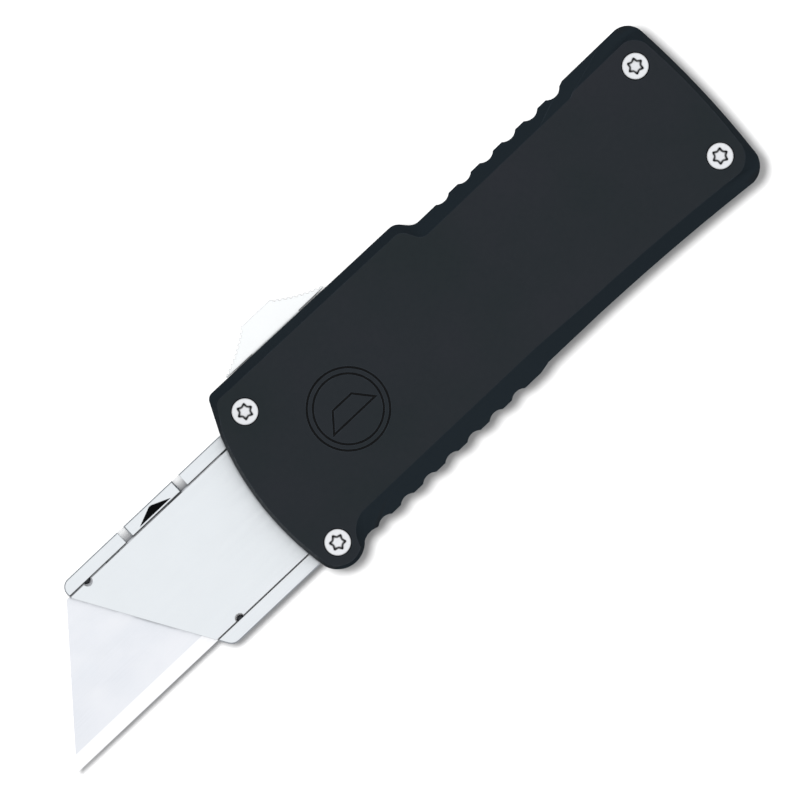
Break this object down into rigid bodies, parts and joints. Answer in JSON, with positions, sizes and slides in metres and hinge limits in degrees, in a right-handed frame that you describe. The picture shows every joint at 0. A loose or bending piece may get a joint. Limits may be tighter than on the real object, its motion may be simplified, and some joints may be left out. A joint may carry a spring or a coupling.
{
  "type": "utility knife",
  "caption": "Utility knife whose side thumb slide fires a blade carrier straight out of, and back into, a flat two-part casing.",
  "frame": {"origin": "under the middle of the knife with its blade out, level with the lowest point of the pocket clip", "axes": "+X from the blade's tip towards the tail of the casing, +Y towards the thumb slide, +Z out of the front face"},
  "size_m": [0.1294, 0.035, 0.0157],
  "materials": {
    "anodised_casing": "matte black anodised",
    "carrier_steel": "fine satin",
    "blade_steel": "ground, with a brighter ground edge",
    "slide_aluminium": "bead blasted, clear",
    "screw_steel": "plain bright",
    "black_steel": "matte black coated",
    "spring_steel": "drawn and oiled",
    "cage_steel": "as machined",
    "bumper_rubber": "matte"
  },
  "bodies": {
    "casing": {"casing_body": "anodised_casing", "front_cover": "anodised_casing", "cover_screws": "screw_steel", "cover_dowels": "screw_steel", "rear_bumper": "bumper_rubber", "pocket_clip": "black_steel", "clip_screws": "black_steel", "front_lock_spring": "spring_steel", "rear_lock_spring": "spring_steel", "lock_screws": "screw_steel"},
    "carrier": {"carrier_frame": "carrier_steel", "carrier_plate": "carrier_steel", "plate_screws": "screw_steel", "plate_pins": "black_steel", "utility_blade": "blade_steel", "release_spring": "spring_steel"},
    "button": {"release_button": "carrier_steel"},
    "thumb": {"thumb_slide": "slide_aluminium", "slider": "cage_steel", "thumb_slide_screws": "screw_steel", "main_spring": "spring_steel", "front_spring_hook": "cage_steel", "rear_spring_hook": "cage_steel"}
  },
  "joints": [
    {"name": "carrier_slide", "type": "slide", "parent": "casing", "child": "carrier", "axis": [1, 0, 0], "range_m": [0, 0.0461], "deforming": ["front_lock_spring", "rear_lock_spring"]},
    {"name": "thumb_slide_slide", "type": "slide", "parent": "casing", "child": "thumb", "axis": [1, 0, 0], "range_m": [0, 0.011]},
    {"name": "release_button_press", "type": "slide", "parent": "carrier", "child": "button", "axis": [0, 0, -1], "range_m": [0, 0.0008], "stiffness_N_per_m": 3500, "deforming": ["release_spring"]}
  ],
  "couplings": [
    {"joint": "thumb_slide_slide", "follows": "carrier_slide", "ratio": 0.23861}
  ]
}
